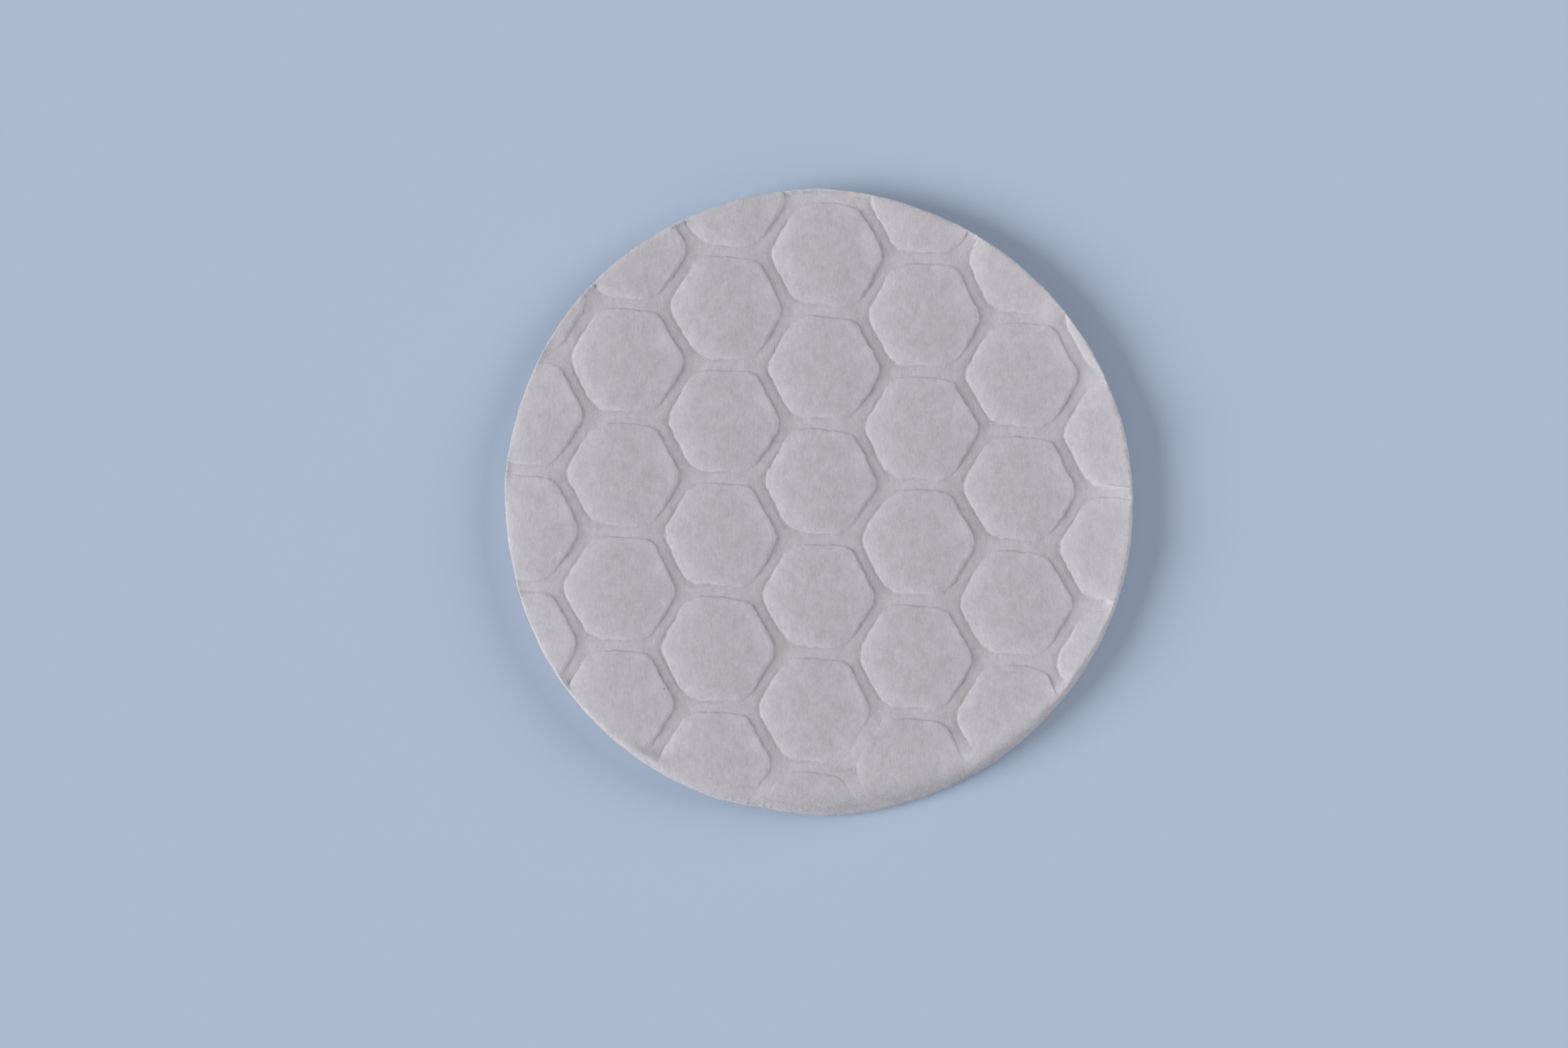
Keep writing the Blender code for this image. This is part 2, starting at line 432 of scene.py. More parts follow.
ring_in_section = HALF_PITCH - from_groove
print("rows on the wall are", round(float(np.diff(section_out).min()), 2), "mm apart")

# %% [markdown]
# ## Rounded corners and full sides
# The rings are still sharp hexagons. A point's direction from the tile's centre stays, and its distance
# is worked out anew on a hexagon with rounded corners: along a side that is plain trigonometry, and in
# a corner it is where a line from the centre meets the corner's circle. The radius is largest at the
# wall and fades to nothing in the middle of the groove, where three tiles meet. What fills a tile also
# pushes it out a little, by a different amount at each corner. The sides between stay nearly straight.

# %% Rounded corners and full sides
CORNER_RADII = np.array([1.8, 1.2, 2.2, 1.8, 2.5, 2.2]) * MM  # at 0, 60, 120, 180, 240 and 300 degrees
CORNER_PUSHED = np.array([-0.08, 0.0, 0.10, 0.02, 0.04, 0.08]) * MM  # outwards, at the same corners
SIDE_BOWED = np.array([0.04, 0.11, 0.05, 0.02, 0.05, 0.01]) * MM  # outwards, half-way between them
bearing = np.degrees(np.arctan2(offset[:, 1], offset[:, 0]))
corner = np.round(bearing / 60.0).astype(int) % 6
side = np.floor(bearing / 60.0).astype(int) % 6
distance = np.linalg.norm(offset, axis=1)
from_normal = np.arccos(np.clip(ring / np.maximum(distance, TINY), 0.0, 1.0))
to_wall = np.minimum(ring_in_section / WALL_RING, (HALF_PITCH - ring_in_section) / (HALF_PITCH - WALL_RING))
corner_radius = CORNER_RADII[corner] * to_wall
on_side = ring_in_section / np.cos(from_normal)
to_circle = (ring_in_section - corner_radius) / COS_30
from_corner = np.radians(30.0) - from_normal
across = to_circle * np.sin(from_corner)
in_corner = to_circle * np.cos(from_corner) + np.sqrt(np.maximum(corner_radius**2 - across**2, 0.0))
past_side = ring_in_section * np.tan(from_normal) > (ring_in_section - corner_radius) * TAN_30
new_distance = np.where(past_side, in_corner, on_side)
along_side = np.tan(from_normal) / TAN_30
from_middle = along_side * np.sign(bearing % 60.0 - 30.0)  # -1 at one end of the side, 1 at the other
side_start, side_end = CORNER_PUSHED[side], CORNER_PUSHED[(side + 1) % 6]
push = 0.5 * (side_start + side_end) + 0.5 * (side_end - side_start) * from_middle
new_distance += to_wall * (push + SIDE_BOWED[side] * (1.0 - along_side**2))
stretch = new_distance / np.maximum(distance, TINY)
stretch[distance < TINY] = 0.0
centre = web[:, :2] - offset
web[:, :2] = centre + offset * stretch[:, None]
print("largest move towards a corner in mm:", round(np.abs(new_distance - on_side).max() / MM, 2))

# %% [markdown]
# ## Heights
# The walls aren't the same all round a tile. The web ran through the roller from top to bottom, so its
# fibres lie across the level grooves and bridge them: those grooves are shallower. The level walls and
# most on the right are crisp, most on the left slope, and the lower right corner of each tile sinks
# away. The floor of a slanting groove sinks towards the right. A ray shot down at each point reads the
# dome's height there, and the wall's height is added to it.

# %% Heights
WALL_ROUND_A_TILE = (
    # bearing from the tile's centre in degrees, how crisp the wall is, how high the tile's edge is, how
    # much higher than the middle of the groove the wall's foot is in mm, the painted shade on the floor
    # beside it (painted light where above 0), the painted light (above 0) and painted shade (below 0) at
    # its foot, how loose the web is on the tile's edge together with a painted highlight there, which
    # differs from side to side, and how far in the last reaches in mm
    (0, 1.0, 1.0, 0.04, -0.08, 0.54, 0.42, 0.9),
    (30, 1.0, 0.82, 0.07, -0.08, 0.38, 0.66, 1.4),
    (60, 0.8, 0.9, 0.02, -0.06, 0.40, 0.38, 1.0),
    (90, 0.9, 0.85, -0.05, 0.0, -0.07, 0.04, 0.9),
    (120, 0.3, 0.75, -0.01, 0.0, 0.0, 0.26, 0.9),
    (150, 0.9, 1.0, -0.02, -0.10, 0.0, 0.44, 0.8),
    (180, 0.6, 1.0, -0.04, -0.15, 0.0, 0.34, 0.9),
    (210, 0.25, 1.0, -0.08, -0.22, 0.0, 0.30, 0.9),
    (240, 0.4, 1.0, -0.03, -0.12, 0.0, 0.37, 0.9),
    (270, 0.95, 0.85, 0.0, 0.0, -0.10, 0.48, 0.42),
    (300, 0.1, 0.5, 0.01, 0.0, 0.02, 0.22, 0.7),
    (330, 1.0, 1.0, 0.02, 0.04, 0.11, 0.42, 0.6),
)
BRIDGED_BY = 0.15 * MM  # how much shallower a level groove is half-way along
SUNK_AS_FAR_AS = 1.0 * MM  # distance from the middle of the groove up to which a tile's edge is sunk
SUNK_FADES = 2.0 * MM  # and how far on from there it rises again
LEAST_DOME = 0.4  # share of the dome that stays where the edge is sunk
ABOVE_ALL = 5 * MM  # a ray from this height starts clear of everything

round_bearing, *round_values = zip(*WALL_ROUND_A_TILE)
crispness, edge_height, foot_height, floor_painted_shade, foot_painted_light_and_shade, edge_loose_and_highlight, edge_fades = (
    np.interp(bearing, round_bearing, values, period=360.0) for values in round_values
)
on_tile = crispness * np.interp(row, section_row, crisp_wall)
on_tile += (1.0 - crispness) * np.interp(row, section_row, soft_wall)
level_side = np.abs(offset[:, 1]) > np.abs(offset @ np.array([COS_30, 0.5]))
level_side &= np.abs(offset[:, 1]) > np.abs(offset @ np.array([COS_30, -0.5]))
bridged = np.where(level_side, np.clip(1.0 - along_side**2, 0.0, 1.0), 0.0)


def point_below(tree, x, y):
    """Where a ray shot straight down at a place meets the surface in a search tree, if it does."""
    return tree.ray_cast(Vector((x, y, ABOVE_ALL)), Vector((0.0, 0.0, -1.0)))[0]


dome_points = [point_below(domes, x, y) for x, y in web[:, :2]]
dome = np.array([point.z if point else 0.0 for point in dome_points])
risen = np.clip((from_groove - SUNK_AS_FAR_AS) / SUNK_FADES, 0.0, 1.0)
sunk_edge = edge_height + (1.0 - edge_height) * risen
height = on_tile * WALL_HEIGHT * sunk_edge + dome * (LEAST_DOME + (1.0 - LEAST_DOME) * sunk_edge)
height += BRIDGED_BY * bridged * (1.0 - on_tile)
towards_foot = np.clip(from_groove / (0.5 * GROOVE_WIDTH), 0.0, 1.0) * (1.0 - on_tile)
height += foot_height * MM * towards_foot
print("crown above the groove in mm:", round(height.max() / MM, 3))

# %% [markdown]
# ## Nothing soft is exact
# A roller can't press loose fibre to a drawn line. Smooth noise of three sizes pulls the walls about by
# a few hundredths of a millimetre, so that they come out ragged. A fourth makes the web thicker and
# thinner in places, and whole tiles are lifted or sunk a little. Blender takes the start of its vector
# noise from the clock, so it is given a fixed seed to come out the same in every run.

# %% Uneven fibre
NOISE_SEED = 3
TUFT_SIZE = 0.3 * MM  # length of one tuft in a wall
TUFT_BY = 0.07 * MM
RAGGED_SIZE = 0.6 * MM
RAGGED_BY = 0.09 * MM
WANDER_SIZE = 3.5 * MM  # slower drift of whole sides
WANDER_BY = 0.20 * MM
CLOUD_SIZE = 1.6 * MM  # thicker and thinner places in the web
CLOUD_BY = 0.012 * MM
TILE_HEIGHT_BY = 0.02 * MM
LIFT_LIMITS = (-1.5, 1.0)  # the most that a tile is sunk and lifted, as shares of that
LIFTS = 64  # drawn each way, which is more than there are tiles
LIFT_SEED = 11
DRAGGED_BY = 0.03 * MM  # the tops of the tiles are dragged over their feet
DRAGGED_TOWARDS = math.radians(50.0)
noise.seed_set(NOISE_SEED)


def drift(points, size, by, seed):
    """A smooth random push in x, y and z for each point, with bumps of that size."""
    start = Vector((seed * 7.3, seed * 3.1, seed * 1.7))  # each seed reads another stretch of the noise
    pushes = [noise.noise_vector(Vector(point) / size + start) for point in points]
    return by * np.array(pushes)


plan = np.column_stack([web[:, :2], np.zeros(len(web))])
drag = DRAGGED_BY * np.array([math.cos(DRAGGED_TOWARDS), math.sin(DRAGGED_TOWARDS)])
web[:, :2] += on_tile[:, None] * drag
web[:, :2] += drift(plan, TUFT_SIZE, TUFT_BY, seed=4)[:, :2]
web[:, :2] += drift(plan, RAGGED_SIZE, RAGGED_BY, seed=1)[:, :2]
web[:, :2] += drift(plan, WANDER_SIZE, WANDER_BY, seed=2)[:, :2]
height += drift(plan, CLOUD_SIZE, CLOUD_BY, seed=3)[:, 2] * (0.5 + 0.5 * on_tile)
lifts = np.random.default_rng(LIFT_SEED).normal(0.0, 1.0, (LIFTS, LIFTS))
height += TILE_HEIGHT_BY * on_tile * np.clip(lifts[tile[:, 0] % LIFTS, tile[:, 1] % LIFTS], *LIFT_LIMITS)
print("tiles lifted by up to", round(TILE_HEIGHT_BY * LIFT_LIMITS[1] / MM, 3), "mm")

# %% [markdown]
# ## Laying the web on the pad
# Up to here the web has had the honeycomb's own axes. One matrix turns it, skews it and puts its first
# tile where it lies on this pad. After that, distances from the pad's rim can be measured.

# %% Laying the web on the pad
PAD_LENGTH = pad_high.y - pad_low.y
CUT_LEAN = 0.5 * MM  # how far the cut drifts outwards on its way down, on one side
CUT_LEAN_TOWARDS = math.radians(-70.0)
LEAN_ACROSS, LEAN_ALONG = 0.17 * MM, 0.45 * MM  # what the lean adds to the pad's box
RIM_DRIFT = {
    # direction from +X in degrees: how far the cut strays outwards there, in mm
    -10: 0.14, -20: 0.13, -40: 0.02, -70: 0.03, -88: 0.10, -100: -0.14, -110: 0.10, -130: 0.12,
    -150: 0.0, -170: -0.21, 175: -0.05, 160: -0.06, 140: 0.22, 115: 0.28, 90: 0.44, 70: 0.14, 45: 0.03,
    15: 0.08,
}


def read_round(table, angle):
    """What a table of directions in degrees says at an angle, on straight lines between its entries."""
    return np.interp(np.degrees(angle), list(table), list(table.values()), period=360.0)


def rim_radius(angle):
    """The pad's outline: an oval, with the cut's small errors."""
    half_width, half_length = 0.5 * (PAD_WIDTH - LEAN_ACROSS), 0.5 * (PAD_LENGTH - LEAN_ALONG)
    oval = 1.0 / np.hypot(np.cos(angle) / half_width, np.sin(angle) / half_length)
    return oval + MM * read_round(RIM_DRIFT, angle)


placed = np.array(laid_on_pad.to_3x3())[:2, :2]
web[:, :2] = web[:, :2] @ placed.T + np.array(FIRST_TILE_CENTRE)
angle = np.arctan2(web[:, 1], web[:, 0])
from_rim = rim_radius(angle) - np.hypot(web[:, 0], web[:, 1])
print("outline in mm:", round(2 * rim_radius(0.0) / MM, 2), "by", round(2 * rim_radius(math.pi / 2) / MM, 2))

# %% [markdown]
# ## What the cut does to the edge
# A blunt die drags the top of the web down before it cuts it. Here the edge is crisp round most of the
# pad, softer at the lower left, and rolled well over at the bottom. The drop follows a quarter of an
# ellipse, and its width and depth change smoothly round the rim. Near the cut the fibres also spring
# back, so the grooves are shallower there and a few have filled up. At the bottom the tiles fade out
# before they reach it, and at the right edge two grooves have been pinched into little folds.

# %% The rolled edge
CRISP_EDGE = (0.13 * MM, 0.06 * MM)  # width and depth of the drop round most of the rim
ROLLED_PLACES = (
    # direction in degrees, spread in degrees, more width, more depth
    (-77.0, 12.0, 2.5 * MM, 2.3 * MM),
    (-50.0, 11.0, 0.9 * MM, 0.7 * MM),
    (-99.0, 9.0, 1.2 * MM, 1.2 * MM),
    (-115.0, 9.0, 0.8 * MM, 0.35 * MM),
)
FILLED_GROOVES = (
    # middle of the place where a groove has filled up, its radius, and how much it has filled
    ((4.2 * MM, -21.6 * MM), 2.6 * MM, 1.0),
    ((6.4 * MM, -19.8 * MM), 1.3 * MM, 0.6),
    ((21.5 * MM, 17.7 * MM), 1.3 * MM, 0.8),
    ((27.9 * MM, 1.2 * MM), 1.5 * MM, 0.54),
    ((27.4 * MM, -8.9 * MM), 1.4 * MM, 0.54),
)
FOLDS = (
    # start and end of a pinched fold, and its height, in mm
    ((25.3, 1.75), (28.7, 1.25), 0.32),
    ((26.5, -9.0), (28.4, -8.75), 0.28),
)
FOLD_WIDTH = 0.26 * MM
SPRINGS_BACK = 0.36  # how far a groove fills up at the cut
SPRINGS_BACK_WITHIN = 0.9 * MM
FADED_TILES = (-80.0, 27.0)  # direction and spread in degrees of the place where the tiles fade out
FADED_WITHIN = 3.6 * MM
LEAST_FADE = 0.01 * MM
FILLED_STAYS_BELOW = 0.06 * MM  # how far a filled groove stays below the crowns
LEAST_THICKNESS = 1.2 * MM


def bell(angle, direction, spread):
    """1 in a direction, fading to both sides of it, all in degrees but the angle."""
    turn = (np.degrees(angle) - direction + 180.0) % 360.0 - 180.0
    return np.exp(-0.5 * (turn / spread) ** 2)


def fold_share(points, start, end):
    """1 along a fold's crest, fading to both sides of it."""
    start, end = np.array(start) * MM, np.array(end) * MM
    run = end - start
    along = np.clip((points - start) @ run / (run @ run), 0.0, 1.0)
    away = points - start - along[:, None] * run
    return np.exp(-((away**2).sum(1)) / FOLD_WIDTH**2)


width, depth = (np.full(len(web), value) for value in CRISP_EDGE)
for direction, spread, more_width, more_depth in ROLLED_PLACES:
    width += more_width * bell(angle, direction, spread)
    depth += more_depth * bell(angle, direction, spread)
inwards = np.maximum(from_rim, 0.0)
filled = SPRINGS_BACK * np.exp(-inwards / SPRINGS_BACK_WITHIN)
faded_within = np.maximum(FADED_WITHIN * bell(angle, *FADED_TILES), LEAST_FADE)
filled = np.maximum(filled, np.exp(-((inwards / faded_within) ** 3)))
for (x, y), radius, amount in FILLED_GROOVES:
    filled = np.maximum(filled, amount * np.exp(-((web[:, 0] - x) ** 2 + (web[:, 1] - y) ** 2) / radius**2))
height += filled * np.maximum(GROOVE_DEPTH - FILLED_STAYS_BELOW - height, 0.0)
folded = np.zeros(len(web))
for start, end, fold_height in FOLDS:
    share = fold_share(web[:, :2], start, end)
    height += fold_height * MM * share * (1.0 - on_tile)
    folded = np.maximum(folded, share)
into_drop = np.clip(1.0 - from_rim / width, 0.0, 1.0)
drop = depth * (1.0 - np.sqrt(1.0 - into_drop**2))
web[:, 2] = np.maximum(GROOVE_FLOOR + height - drop, LEAST_THICKNESS)
move_points(web_mesh, web)
print("the edge drops by", round(depth.min() / MM, 2), "to", round(depth.max() / MM, 2), "mm")

# %% [markdown]
# ## How loose the web is, with painted light and shade
# Where the web is loose it is whiter than where it is pressed, and light also gets into it from the cut
# side. So every point is given a looseness for the material to read, and the same number carries painted
# light and shade too: along the edge of each tile, fading inwards, loose web and a painted highlight;
# painted shade on the groove floor beside some walls; a band at the walls' feet, painted lighter below
# the walls on the right and darker below the level ones; a trace on the fibres that bridge a level
# groove, partly painted light; and most near the rim, above all at the left and right, which face the
# light, partly loose web and partly painted light.

# %% How loose the web is, with painted light and shade
WEB_LOOSE = 0.30  # the middle of a tile
FOOT_BAND = 0.58 * MM  # distance from the middle of the groove of the band at a wall's foot that is painted lighter or darker
FOOT_BAND_SPREAD = 0.14 * MM
# the fibres that bridge a level groove are drawn lighter: partly loose fibre, partly painted light against
# the groove's shade
BRIDGE_LOOSE_AND_LIT = 0.10
RIM_LOOSE_AND_LIGHT = {
    # direction from +X in degrees: how much lighter the web is at the rim, partly loose web and partly
    # painted light, most at the left and right, which face the light
    -180: 0.50, -150: 0.40, -130: 0.26, -105: 0.10, -80: 0.04, -60: 0.24, -45: 0.32, 0: 0.58, 45: 0.30,
    90: 0.10, 135: 0.10, 160: 0.36,
}
RIM_FADES = 2.6 * MM
FILLED_LOOSE = 0.2
# the pinched folds are drawn lighter: partly loose web, partly a painted highlight on their crests
FOLD_LOOSE_AND_HIGHLIGHT = 0.5

past_wall = np.maximum(from_groove - 0.5 * GROOVE_WIDTH, 0.0)
# Along each tile's edge: loose web, and a painted highlight that differs from side to side.
looseness_and_painted_light = edge_loose_and_highlight * on_tile * np.exp(-past_wall / (edge_fades * MM))
# Painted shade on the groove floor beside a wall, deepest beside the tiles' left sides.
looseness_and_painted_light += floor_painted_shade * towards_foot
# A band at each wall's foot: painted light that eases the dark line below the walls on the right, painted
# shade below the level walls.
looseness_and_painted_light += foot_painted_light_and_shade * np.exp(-(((from_groove - FOOT_BAND) / FOOT_BAND_SPREAD) ** 2))
looseness_and_painted_light += BRIDGE_LOOSE_AND_LIT * bridged * (1.0 - on_tile)
looseness_and_painted_light = WEB_LOOSE + looseness_and_painted_light * (1.0 - filled)
looseness_and_painted_light += read_round(RIM_LOOSE_AND_LIGHT, angle) * np.exp(-inwards / RIM_FADES)
looseness_and_painted_light += (FILLED_LOOSE * filled + FOLD_LOOSE_AND_HIGHLIGHT * folded) * (1.0 - on_tile)
loose_and_painted_light = web_mesh.attributes.new("loose_and_painted_light", "FLOAT", "POINT")
loose_and_painted_light.data.foreach_set("value", looseness_and_painted_light.astype(np.float32))
print("looseness from", round(looseness_and_painted_light.min(), 2), "to", round(looseness_and_painted_light.max(), 2))

# %% [markdown]
# ## The blank
# To be cut, the web has to be a closed body. A second, coarser sheet is its underside, turned over and
# with soft dents in it, and a skirt joins the two. The skirt lies outside the die, so its looks don't
# matter.

# %% The blank
UNDERSIDE_ROW = 1.0 * MM
DENT_SIZE = 4.0 * MM
DENT_BY = 0.05 * MM


def triangulate(bm):
    bmesh.ops.triangulate(bm, faces=[face for face in bm.faces if len(face.verts) > 3])


def count_open(bm):
    """How many edges don't lie between exactly two faces."""
    return sum(1 for edge in bm.edges if not edge.is_manifold)


underside = triangle_sheet(UNDERSIDE_ROW, REACH)
bmesh.ops.reverse_faces(underside, faces=underside.faces)
for vert in underside.verts:
    dent = noise.noise(vert.co / DENT_SIZE) + 0.5
    vert.co.z = DENT_BY * min(max(dent, 0.0), 1.0)

bm = bmesh.new()
bm.from_mesh(web_mesh)
bm.from_mesh(mesh_from("underside", underside))
bmesh.ops.bridge_loops(bm, edges=[edge for edge in bm.edges if edge.is_boundary])
triangulate(bm)
bmesh.ops.recalc_face_normals(bm, faces=bm.faces)
left_open = count_open(bm)
pad = new_object("cotton_pad_surface", mesh_from("blank", bm))
print("blank:", len(pad.data.polygons), "faces, open edges:", left_open)

# %% [markdown]
# ## The die
# The die is the space inside its cutting ring: half its section is drawn once and spun round. The wall
# is divided finely, because its own surface will be roughened. The ring is then made oval and leant
# over, and each point is moved to the outline with its small errors. What the blank and the die share
# is the pad. The manifold solver makes this cut quickly, and both bodies are closed, as it needs.

# %% The die
RIM_SEGMENTS = 720
WALL_ROWS = 12
LOWER_EDGE_RADIUS = 0.3 * MM
LOWER_EDGE_STEPS = 3
OVER = 0.8 * MM  # how far the die runs on past the pad, above and below
SPUN_RADIUS = 1.0  # the section is spun at this radius, and each point then gets its own
SAME_POINT = 0.01 * MM

section = [Vector((0.0, 0.0, -OVER))]
for step in range(LOWER_EDGE_STEPS + 1):
    turn = math.radians(-90.0 + 90.0 / LOWER_EDGE_STEPS * step)
    inset = LOWER_EDGE_RADIUS * (1.0 - math.cos(turn))
    section.append(Vector((SPUN_RADIUS - inset, 0.0, LOWER_EDGE_RADIUS * (1.0 + math.sin(turn)))))
for step in range(1, WALL_ROWS + 1):
    level = LOWER_EDGE_RADIUS + (PAD_THICKNESS + OVER - LOWER_EDGE_RADIUS) * step / WALL_ROWS
    section.append(Vector((SPUN_RADIUS, 0.0, level)))
section.append(Vector((0.0, 0.0, PAD_THICKNESS + OVER)))

bm = bmesh.new()
corners = [bm.verts.new(point) for point in section]
sides = [bm.edges.new(pair) for pair in zip(corners, corners[1:])]
bmesh.ops.spin(
    bm, geom=corners + sides, cent=Vector(), axis=Vector((0.0, 0.0, 1.0)), angle=2.0 * math.pi,
    steps=RIM_SEGMENTS, use_merge=True,
)
bmesh.ops.remove_doubles(bm, verts=bm.verts, dist=SAME_POINT)
middle = 0.5 * PAD_THICKNESS
lean = CUT_LEAN / PAD_THICKNESS * Vector((math.cos(CUT_LEAN_TOWARDS), math.sin(CUT_LEAN_TOWARDS), 0.0))
for vert in bm.verts:
    radius = math.hypot(vert.co.x, vert.co.y)
    if radius < 0.5 * SPUN_RADIUS:  # the two poles stay on the axis
        continue
    turn = math.atan2(vert.co.y, vert.co.x)
    reach = rim_radius(turn) - (SPUN_RADIUS - radius)
    vert.co.x, vert.co.y = reach * math.cos(turn), reach * math.sin(turn)
    vert.co += lean * (middle - vert.co.z)
bmesh.ops.triangulate(bm, faces=bm.faces)
bmesh.ops.recalc_face_normals(bm, faces=bm.faces)
die = new_object("die", mesh_from("die", bm))

cut = pad.modifiers.new("die_cut", "BOOLEAN")
cut.operation = "INTERSECT"
cut.solver = "MANIFOLD"
cut.object = die
pad_mesh = final_mesh(pad)
pad.modifiers.clear()
pad.data = pad_mesh
bpy.data.objects.remove(die, do_unlink=True)
print("after the cut:", len(pad_mesh.vertices), "points,", len(pad_mesh.polygons), "faces")

# %% [markdown]
# ## Softening the cut
# A solid cut leaves a knife edge and slivers along it. Points that nearly meet are merged. That can fold
# a sliver shut, which leaves two faces on the same three points, an edge without a face or a small hole.
# The first two are deleted and the holes filled, in a few rounds, because one mend can lay the next one
# open. The points close to the edge are then smoothed, which rounds it as loose fibre would.

# %% Softening the cut
MERGE_WITHIN = 0.03 * MM
SOFT_WITHIN = 0.2 * MM
SOFT_ABOVE = 0.8 * MM
SOFTENINGS = 3
MEND_ROUNDS = 4
bm = bmesh.new()
bm.from_mesh(pad_mesh)
bmesh.ops.dissolve_degenerate(bm, edges=bm.edges, dist=MERGE_WITHIN)
triangulate(bm)


def mend(bm):
    """Deletes faces folded shut and edges without a face, and fills holes. Says how much isn't closed."""
    same_points = {}
    for face in bm.faces:
        same_points.setdefault(frozenset(face.verts), []).append(face)
    folded_shut = [face for twins in same_points.values() if len(twins) > 1 for face in twins]
    bmesh.ops.delete(bm, geom=folded_shut, context="FACES")
    bmesh.ops.delete(bm, geom=[edge for edge in bm.edges if edge.is_wire], context="EDGES")
    bmesh.ops.delete(bm, geom=[vert for vert in bm.verts if not vert.link_edges], context="VERTS")
    bmesh.ops.holes_fill(bm, edges=[edge for edge in bm.edges if edge.is_boundary])
    triangulate(bm)
    return count_open(bm)


mended = [mend(bm) for _ in range(MEND_ROUNDS)]


def inside_cut(point):
    """How far a point lies inside the leaning cut, in metres."""
    upright = point - lean * (middle - point.z)
    return rim_radius(math.atan2(upright.y, upright.x)) - math.hypot(upright.x, upright.y)


edge_points = [vert for vert in bm.verts if vert.co.z > SOFT_ABOVE and inside_cut(vert.co) < SOFT_WITHIN]
for _ in range(SOFTENINGS):
    bmesh.ops.smooth_vert(
        bm, verts=edge_points, factor=0.5, use_axis_x=True, use_axis_y=True, use_axis_z=True
    )
print("points softened along the cut:", len(edge_points), "not closed after each mend:", mended)

# %% [markdown]
# ## Torn fibre in the wall
# A die tears cotton as much as it cuts it. The wall bulges a little half-way up, and has the lumps and
# pits of torn fibre in two sizes. The lowest part stays as the die left it, because the pad stands on it.

# %% Torn fibre in the wall
BULGE = 0.07 * MM
TORN_LUMPS = (
    # size of the lumps, and how far they stand out
    (0.35 * MM, 0.035 * MM),
    (1.5 * MM, 0.06 * MM),
)
TORN_WITHIN = 0.2 * MM  # a point twice as far inside the cut hardly moves
RESTS_BELOW = 0.4 * MM
# the cut wall is drawn lighter: partly loose torn fibre, partly painted light that lifts the shade along the
# rim
WALL_LOOSE_AND_LIT = 0.6
UNDERSIDE_BELOW = 0.2 * MM

loose_and_light_layer = bm.verts.layers.float["loose_and_painted_light"]
for vert in bm.verts:
    if vert.co.z < UNDERSIDE_BELOW:
        vert[loose_and_light_layer] = WEB_LOOSE
wall_points = [vert for vert in bm.verts if inside_cut(vert.co) < 2.0 * TORN_WITHIN]
for vert in wall_points:
    outwards = Vector((vert.co.x, vert.co.y, 0.0)).normalized()
    push = BULGE * math.sin(math.pi * min(vert.co.z / PAD_THICKNESS, 1.0))
    for lump_size, lump_by in TORN_LUMPS:
        push += lump_by * noise.noise(vert.co / lump_size)
    share = math.exp(-((max(inside_cut(vert.co), 0.0) / TORN_WITHIN) ** 2))
    vert[loose_and_light_layer] += (WALL_LOOSE_AND_LIT - vert[loose_and_light_layer]) * share
    vert.co += outwards * push * share * min(vert.co.z / RESTS_BELOW, 1.0)
bm.to_mesh(pad_mesh)
surface = BVHTree.FromBMesh(bm)
not_closed = count_open(bm)
bm.free()
pad_mesh.shade_smooth()
print("points in the wall:", len(wall_points), "faces:", len(pad_mesh.polygons), "not closed:", not_closed)

# %% [markdown]
# ## Bleached cotton web
# Bleached cotton is a mat of hollow fibres about 0.015 mm thick that scatter nearly all the light they
# catch, so it is white, quite matt, and a little brighter where the mat is loose than where it is
# pressed. Its colour runs between a pressed and a loose tone by the looseness, which also carries
# painted highlights and shade, so the same two tones paint those. Carding combs the fibres along the
# web, so everything in its surface is drawn out along Y.
# Single fibres are far too fine to show. What the eye sees is their bunching, and the streaks here
# start at the size of a bunch, about 0.15 mm by 1 mm.

# %% Bleached cotton web
# the lighter tone stands for loose web and painted light, the darker one for pressed web and painted shade
LOOSE_AND_LIT_COLOUR = linear("#C9C7CE")
PRESSED_AND_SHADED_COLOUR = linear("#A6A3A5")
CLOUD_WIDTH = 1.0 * MM
COMBED = 1.4  # how much longer than wide the clouds are
BUNCH_WIDTH = 0.16 * MM
BUNCH_LENGTH = 0.9 * MM
BUNCH_BEND = 0.6  # how much the bunches wind about each other
BUNCH_SHARE = 0.25  # share of the bunches in what makes the web uneven, beside the clouds
UNEVEN_BY = 0.33
BUMP_DEPTH = 0.06 * MM
LIGHT_SPREADS = 0.35 * MM  # how far light travels inside the web


